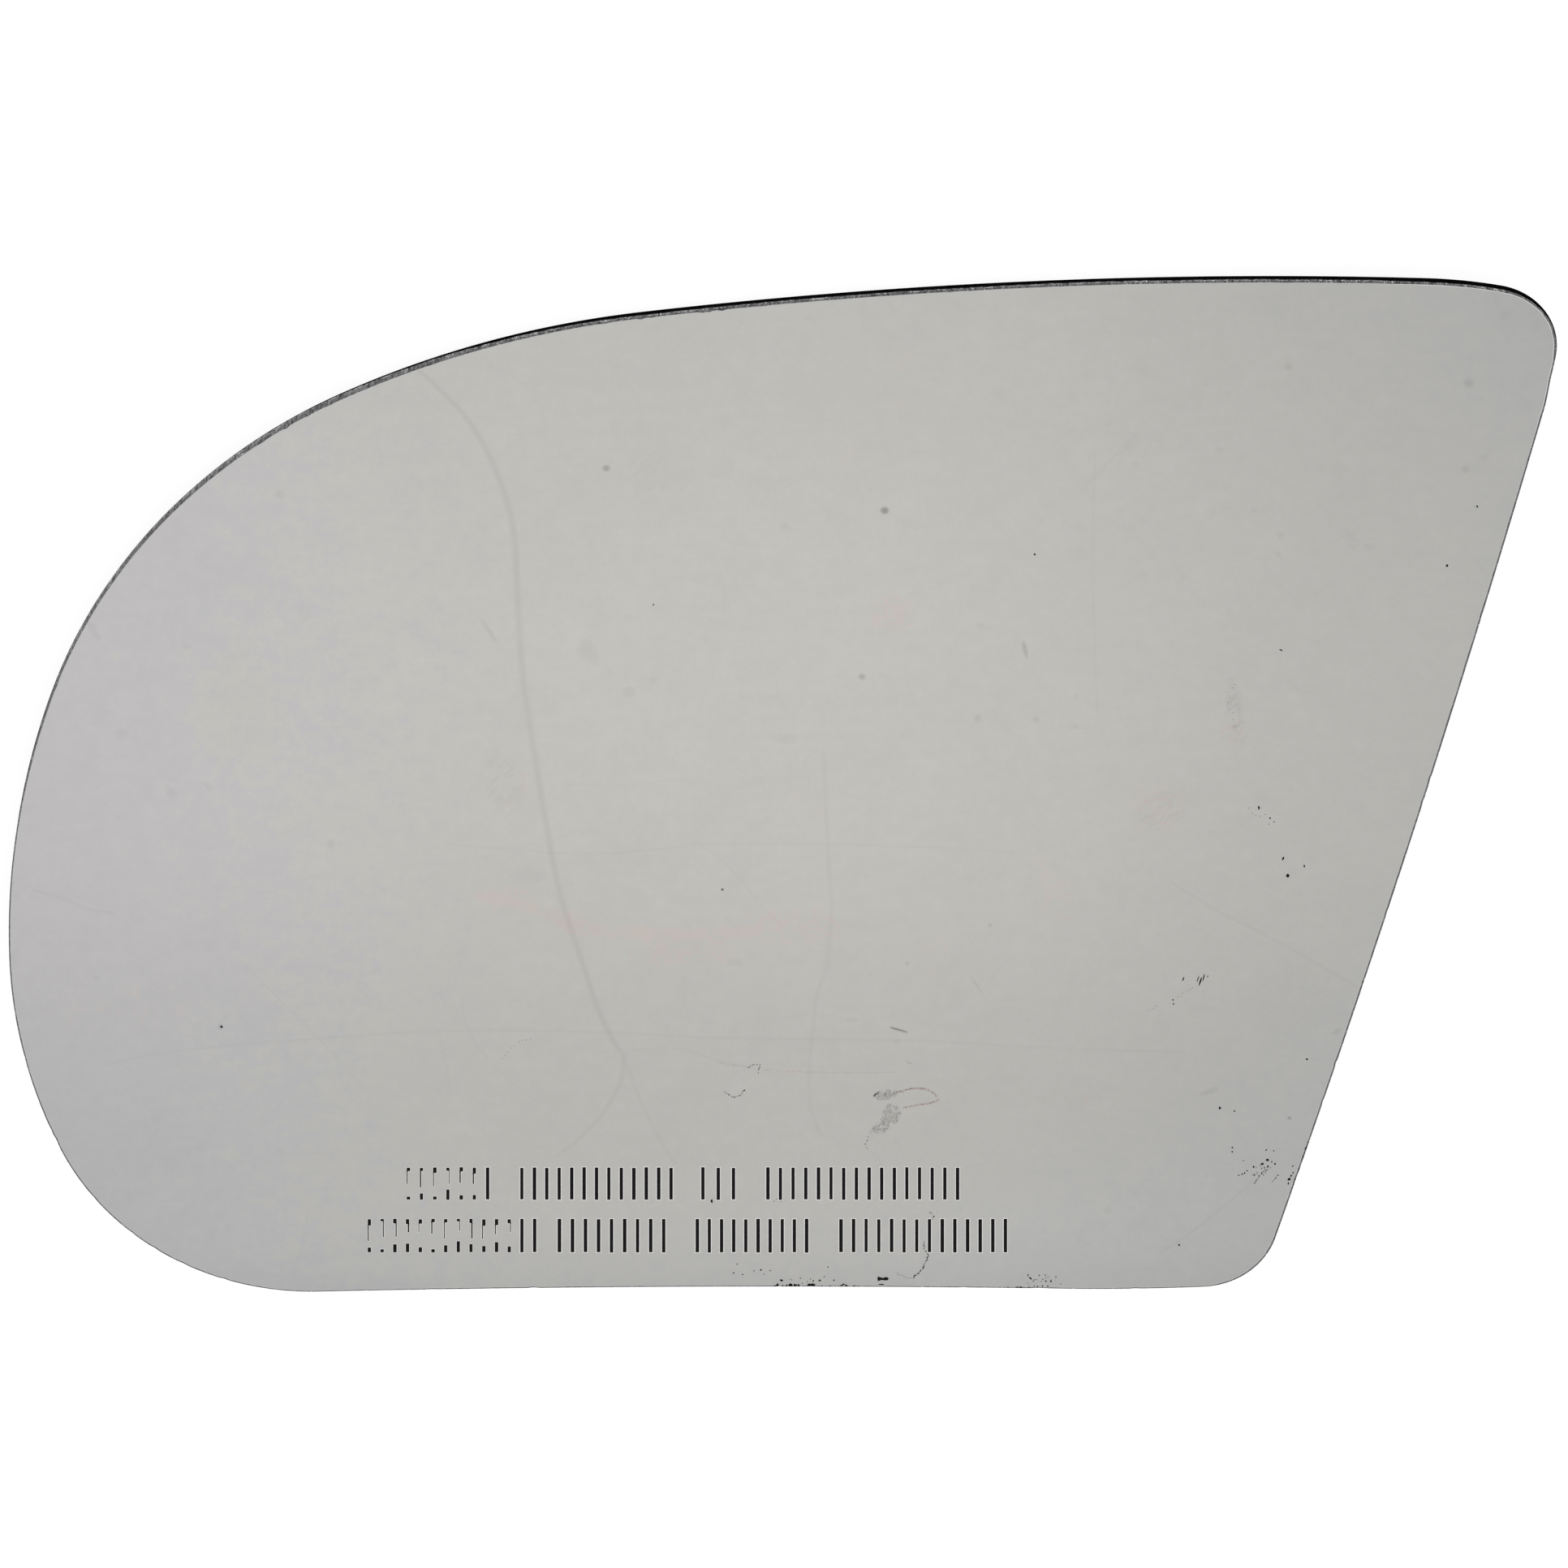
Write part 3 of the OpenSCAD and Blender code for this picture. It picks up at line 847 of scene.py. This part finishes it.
# Two rows of plain upright strokes, etched through the coat. Values are in pixels.
strokes = {
    # Top and bottom of a row, up to where its strokes are only partly etched, and its groups
    "rows": [
        (1438.5, 1478.0, 596.0, [(501, 603), (641, 829), (864, 906), (944, 1182)]),
        (1502.0, 1543.0, 640.0, [(453, 661), (687, 820), (857, 996), (1034, 1241)]),
    ],
    "pitch": 15.6, "width": 4.3, "burr": 0.9,
    "wornBurr": 0.6,  # share of it round a worn stroke
    "wornWidth": 1.5,
    "seed": 5,
}


def box(left, right, top, bottom):
    return [(left, bottom), (right, bottom), (right, top), (left, top)]


def strokeOutlines():
    dice = np.random.default_rng(strokes["seed"])
    sound, worn = [], []
    for rowTop, rowBottom, wornUpTo, groups in strokes["rows"]:
        for left, right in groups:
            count = round((right - left - strokes["width"]) / strokes["pitch"]) + 1
            for x in np.linspace(left, right - strokes["width"], count):
                wide = strokes["width"] * dice.uniform(0.92, 1.06)
                top = rowTop + dice.uniform(-0.4, 0.4)
                bottom = rowBottom + dice.uniform(-0.4, 0.4)
                if x > wornUpTo:
                    sound.append(box(x, x + wide, top, bottom))
                    continue
                # Its ends are etched and a hair line joins them, broken at a random height
                tall = bottom - top
                head = top + tall * dice.uniform(0.06, 0.22)
                heel = bottom - tall * dice.uniform(0.08, 0.35)
                broken = dice.uniform(0.35, 0.75)
                thin = strokes["wornWidth"] * dice.uniform(0.6, 1.2)
                side = x + (wide - thin) * dice.integers(0, 2)
                worn += [box(x, x + wide, top, head), box(x, x + wide, heel, bottom),
                         box(side, side + thin, head, head + (heel - head) * broken)]
    return np.array(sound), np.array(worn)


# Flakes out of the coat, in pixels. A cluster has them scattered in a turned ellipse, and a
# trail has them strewn along a line.
flakes = {
    "corners": 9,
    "ragged": (0.62, 1.25),  # range of a corner's distance from the centre
    "turns": (-60.0, 60.0),
    "seed": 23,
    # Place, half size across and up, and turn
    "single": [
        (1783, 697, 1.8, 1.8), (1820, 624, 1.2, 1.5), (1587, 1079, 2.2, 2.4), (1581, 1058, 1.2, 2.6, -20),
        (1607, 1067, 1.0, 1.6), (1551, 995, 1.3, 2.6), (1565, 1008, 0.9, 1.4), (1578, 801, 2.2, 0.9, -20),
        (1479, 1209, 1.1, 6.0, -18), (1483, 1205, 0.8, 5.0, -16), (1476, 1206, 0.6, 4.0, -18),
        (1458, 1206, 0.7, 3.0, -18), (1488, 1203, 0.5, 1.6, -10), (1445, 1232, 0.9, 1.0),
        (1446, 1237, 0.9, 0.9), (1610, 1305, 1.4, 1.5), (1503, 1365, 1.5, 1.5), (1521, 1369, 1.1, 1.1),
        (1518.3, 1414, 0.9, 1.0), (1518.3, 1419, 1.0, 1.2), (1560, 1417, 1.0, 1.0),
        (1569.5, 1418, 0.7, 0.8), (1561.6, 1429.3, 1.6, 1.6), (1555.6, 1434, 1.6, 1.4),
        (1567, 1431.5, 1.0, 1.0), (1571, 1434, 1.0, 1.3), (1544.6, 1437.8, 1.2, 1.2),
        (1532, 1430, 0.8, 0.7), (1588.3, 1452.8, 1.9, 1.9), (1591, 1448.6, 1.0, 1.6, -30),
        (1593.3, 1445, 0.7, 1.4, -20), (1587.3, 1458.3, 0.9, 1.4), (1593, 1436.8, 0.8, 1.0),
        (1453, 1534, 1.3, 1.4), (877, 1480, 1.4, 2.6), (273, 1265, 1.4, 1.4), (890, 1096, 1.2, 1.2),
        (805, 745, 0.9, 1.2), (1275, 683, 1.3, 1.3), (1084, 1575.6, 4.2, 2.8), (1090.5, 1575.8, 4.0, 2.6),
        (1086, 1582.6, 4.0, 0.6), (963, 1577.5, 2.2, 1.3, -25), (955, 1584.4, 1.5, 1.1),
        (1002, 1578, 1.0, 0.9), (1010, 1577.5, 1.4, 1.3), (1015.5, 1573, 0.8, 0.8),
        (1012.5, 1584.5, 1.0, 0.8), (1023, 1584.6, 1.1, 0.8), (1052.5, 1584.6, 1.2, 0.9),
        (1057.5, 1585, 1.0, 0.7), (1037, 1584, 1.8, 0.9, 30), (1042.5, 1584, 2.0, 0.9, -30),
        (1039.5, 1582.6, 1.5, 0.9), (937.5, 1564.8, 1.2, 1.1), (929, 1566, 0.7, 0.7),
        (949, 1565.5, 0.8, 0.8), (903.8, 1568.5, 1.0, 0.9), (915.2, 1570.5, 0.9, 0.8),
        (908.2, 1557.5, 0.8, 0.9), (941, 1570, 0.6, 0.6), (1020, 1561.2, 0.8, 0.8),
        (1027.5, 1577.5, 1.2, 0.8, 20), (1266.8, 1571, 0.9, 1.0), (1269.6, 1575.2, 2.6, 1.1, -40),
        (1273, 1578.5, 0.8, 0.8), (1288.6, 1578.6, 1.1, 0.9), (1295, 1578.8, 1.3, 1.0, 30),
        (1301, 1573.2, 0.9, 0.8), (1288, 1571.2, 0.8, 0.8), (1280.4, 1571.4, 0.7, 0.8),
        (1278.3, 1585.4, 1.1, 0.7), (1284.5, 1584.6, 1.1, 0.8), (1291, 1584.8, 0.9, 0.8),
        (1274.4, 1584.4, 0.8, 0.7),
    ],
    # Centre, half size of the cluster, its turn, how many, and their least and largest size
    "clusters": [
        (1552, 1443, 26, 5, 38, 12, 0.5, 1.0), (976.5, 1583.6, 9.5, 0.7, 0, 14, 0.9, 2.4),
        (1000.5, 1583.2, 5.0, 0.7, 0, 8, 0.9, 2.2), (1001, 1578, 30, 4, 0, 8, 0.4, 0.8),
        (1285, 1577, 18, 6, 0, 12, 0.4, 0.8), (1257, 1586, 13, 0.4, 0, 12, 0.6, 1.2),
        (960, 1479, 8, 2, 0, 5, 0.5, 1.0), (1147, 1500, 6, 12, 20, 8, 0.4, 0.9),
        (1090, 1350, 12, 4, 10, 10, 0.3, 0.6), (1097, 1374, 9, 10, 0, 4, 0.25, 0.45),
        (1086, 1388, 9, 6, 40, 7, 0.3, 0.6), (1555, 1010, 14, 24, 30, 8, 0.4, 0.9),
        (1606, 1427, 1.2, 4, -18, 6, 0.8, 1.6), (1609, 1416, 1.0, 3, -18, 5, 0.7, 1.4),
        (1601.5, 1441, 1.2, 3, -18, 5, 0.7, 1.5), (1596, 1456, 1.2, 4, -20, 5, 0.6, 1.3),
    ],
    # Points along the trail, how far apart the flakes are, their sizes and their scatter
    "trails": [
        ([(1143.8, 1547), (1142, 1553), (1138.6, 1558), (1137, 1563), (1133, 1568), (1126, 1572.5),
         (1126, 1575)], 1.5, 0.45, 0.95, 0.35),
        ([(1126, 1575), (1117, 1574.5), (1105, 1569)], 2.6, 0.3, 0.6, 0.4),
        ([(1138, 1531), (1139, 1539), (1143, 1546)], 2.0, 0.5, 0.9, 0.4),
        ([(1527.3, 1448.7), (1536.7, 1442.7)], 3.2, 0.65, 1.1, 0.4),
        ([(1545.7, 1456.7), (1559, 1441.7)], 2.4, 0.6, 1.05, 0.5),
        ([(1556.7, 1446.7), (1565, 1439)], 2.8, 0.55, 0.95, 0.4),
        ([(1568, 1455), (1574.5, 1449)], 2.6, 0.55, 1.0, 0.3),
        ([(1070, 1401), (1067, 1406), (1066, 1411), (1068.5, 1415)], 2.8, 0.4, 0.7, 0.8),
        ([(1075, 1419.6), (1082, 1427), (1086, 1433), (1088, 1438)], 3.8, 0.2, 0.4, 0.7),
        ([(1076, 1350), (1082, 1347)], 1.6, 0.6, 0.9, 0.5),
        ([(1102, 1347), (1112, 1344), (1124, 1341)], 2.2, 0.3, 0.55, 0.6),
        ([(1135, 1341.4), (1148, 1345), (1153, 1351), (1156.5, 1354)], 4.4, 0.2, 0.4, 0.7),
        ([(1152, 1358), (1132, 1361), (1116, 1364.6)], 6.0, 0.2, 0.4, 0.7),
        ([(893, 1345), (900, 1350), (905, 1352), (912, 1350), (918, 1342)], 2.4, 0.5, 0.9, 0.5),
        ([(922, 1315), (930, 1312), (937, 1312), (934, 1322)], 2.6, 0.5, 0.9, 0.4),
        ([(620, 1305), (628, 1292), (640, 1284), (654, 1280)], 5.0, 0.3, 0.5, 0.6),
        ([(1474, 1215), (1462, 1222), (1452, 1229)], 3.6, 0.25, 0.45, 0.6),
        ([(1424, 1240), (1414, 1246)], 3.0, 0.3, 0.5, 0.6),
        ([(1522, 842), (1513, 852), (1512, 870), (1520, 890), (1527, 905)], 6.0, 0.3, 0.5, 1.5),
    ],
}


def turned(x, y, cosine, sine):
    return np.stack([x * cosine - y * sine, x * sine + y * cosine], axis=-1)


# Ragged outlines: turned ellipses whose radius varies from corner to corner
def raggedOutlines(dice, centres, sizes, turns):
    corners = flakes["corners"]
    angle = np.arange(corners) * 2 * np.pi / corners
    radius = dice.uniform(*flakes["ragged"], (len(centres), corners))
    x = sizes[:, :1] * radius * np.cos(angle)
    y = sizes[:, 1:] * radius * np.sin(angle)
    turn = np.radians(turns)[:, None]
    return centres[:, None] + turned(x, y, np.cos(turn), np.sin(turn)) * (1, -1)


def flakeOutlines():
    dice = np.random.default_rng(flakes["seed"])
    single = np.array([(*mark, 0)[:5] for mark in flakes["single"]], float)
    centres, sizes, turns = [single[:, :2]], [single[:, 2:4]], [single[:, 4]]
    for x, y, wide, tall, turn, count, small, large in flakes["clusters"]:
        reach = dice.normal(0.0, 0.5, (count, 2)) * (wide, tall)
        lean = math.radians(turn)
        centres.append((x, y) + turned(*reach.T, math.cos(lean), -math.sin(lean)))
        # Most of a cluster's flakes are small
        size = small + (large - small) * dice.random((count, 1)) ** 2.2
        sizes.append(size * dice.uniform(0.7, 1.3, (count, 2)))
        turns.append(dice.uniform(*flakes["turns"], count))
    for route, apart, small, large, scatter in flakes["trails"]:
        route = np.array(route, float)
        steps = np.linalg.norm(np.diff(route, axis=0), axis=1)
        reached = np.concatenate([[0.0], np.cumsum(steps)])
        count = int(reached[-1] / apart) + 1
        at = np.linspace(0.0, reached[-1], count)
        line = np.stack([np.interp(at, reached, route[:, axis]) for axis in (0, 1)], axis=-1)
        centres.append(line + dice.normal(0.0, scatter, (count, 2)))
        sizes.append(dice.uniform(small, large, (count, 2)))
        turns.append(dice.uniform(*flakes["turns"], count))
    return raggedOutlines(dice, *map(np.concatenate, (centres, sizes, turns)))


# White floor: the camera sees it lit and lifted, so that the soft shadow stays
floorLook = {
    "size": 3.0,  # in metres
    "bounce": 0.8, "seen": 0.30, "lift": 0.78,
    # What the mirror's front shows of it: a sweep from grey to pale
    "mirrored": (0.36, 0.86),
    "sweepWay": (0.8, 0.6),
    "sweep": 0.15,  # half its length, in metres
}


def makeFloor():
    start = newFinish("whiteFloor")
    camera, glossy, passing = (start.node("LightPath", output=f"Is {ray} Ray")
                               for ray in ("Camera", "Glossy", "Transmission"))
    under = start.node("NewGeometry", output="Backfacing")
    plain, lit = (start.node("BsdfDiffuse", None, {"Color": [floorLook[name]] * 3})
                  for name in ("bounce", "seen"))
    lift = start.node("Emission", None, {"Strength": floorLook["lift"]})
    x, y = start.node("TexCoord", output="Object").split()[:2]
    reach = floorLook["sweep"]
    xWay, yWay = floorLook["sweepWay"]
    sweep = (x * xWay + y * yWay).step(-reach, reach, *floorLook["mirrored"])
    swept = start.node("Emission", None, {"Strength": sweep})
    shadowed = start.node("AddShader", None, {0: lit, 1: lift})
    shader = start.node("MixShader", None, {0: camera, 1: plain, 2: shadowed})
    mirrored = glossy.maths("MAXIMUM", glossy, passing)
    shader = start.node("MixShader", None, {0: mirrored, 1: shader, 2: swept})
    clear = start.node("BsdfTransparent")
    shader = start.node("MixShader", None, {0: under, 1: shader, 2: clear})
    start.node("OutputMaterial", None, {"Surface": shader})
    square = np.array([(-1, -1, 0), (1, -1, 0), (1, 1, 0), (-1, 1, 0)])
    corners = square * (floorLook["size"] / 2 / millimetre)
    floor = addObject("floor", corners, [[0, 1, 2, 3]], [start.owner])


# Even light from above, dimmer below the floor, and two soft lamps
studio = {
    "world": 0.972, "belowFloor": 0.42,
    # Name, place and width in metres, and power in watts
    "lamps": [
        ("softLeft", (-0.75, 0.35, 0.95), 0.7, 0.9),
        ("softRight", (0.8, -0.5, 1.1), 0.9, 0.6),
    ],
}


def makeLight():
    world = bpy.data.worlds.new("studio")
    start = firstWire(world)
    white = (1.0, 1.0, 1.0)
    height = start.node("TexCoord", output="Generated").split()[2]
    dimmed = start.node("MapRange", None, {
        "Value": height, "From Min": -1.0, "From Max": 0.0,
        "To Min": studio["belowFloor"], "To Max": studio["world"]})
    glow = start.node("Background", None, {"Color": white, "Strength": dimmed})
    backdrop = start.node("Background", None, {"Color": white})
    camera = start.node("LightPath", output="Is Camera Ray")
    both = start.node("MixShader", None, {0: camera, 1: glow, 2: backdrop})
    start.node("OutputWorld", None, {"Surface": both})
    bpy.context.scene.world = world
    for name, place, size, power in studio["lamps"]:
        data = bpy.data.lights.new(name, "AREA")
        data.shape, data.size, data.energy = "DISK", size, power
        light = addToScene(name, data)
        light.location = place
        x, y, z = place
        light.rotation_euler = (math.atan2(math.hypot(x, y), z), 0.0, math.atan2(x, -y))
    bpy.context.scene.view_settings.view_transform = "Standard"


def dress(piece):
    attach(piece, "root")


rimLine = rimShape()
paneGlass = glassPane(rimLine, [silverCoat(), cutRim(), mirrorFront()])
dress(paneGlass)
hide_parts("mirror_glass")
low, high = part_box("mirror_glass")
print("frame's solid:", [round(v / millimetre, 2) for v in high - low], "mm")

darkGlass = bareGlass()
soundStrokes, wornStrokes = strokeOutlines()
flakePlan = onPane(flakeOutlines())
strokePlan = onPane(np.concatenate([soundStrokes, wornStrokes]))
swell = np.array([(-1, 1), (1, 1), (1, -1), (-1, -1)]) * strokes["burr"]
burrPlan = onPane(np.concatenate([soundStrokes + swell, wornStrokes + strokes["wornBurr"] * swell]))
dress(addPlates("strokeBurr", burrPlan, paleBurr(), backHeight, -bare["sink"], 0.5 * bare["proud"]))
for side, height, lowest, highest in (
        ("Back", backHeight, -bare["sink"], bare["proud"]),
        ("Front", frontHeight, -bare["proud"], bare["sink"])):
    dress(addPlates("bareStrokes" + side, strokePlan, darkGlass, height, lowest, highest))
    dress(addPlates("bareFlakes" + side, flakePlan, darkGlass, height, lowest, highest))
print("bare glass:", len(strokePlan), "strokes,", len(flakePlan), "flakes")

makeFloor()
makeLight()
print("floor and light made")
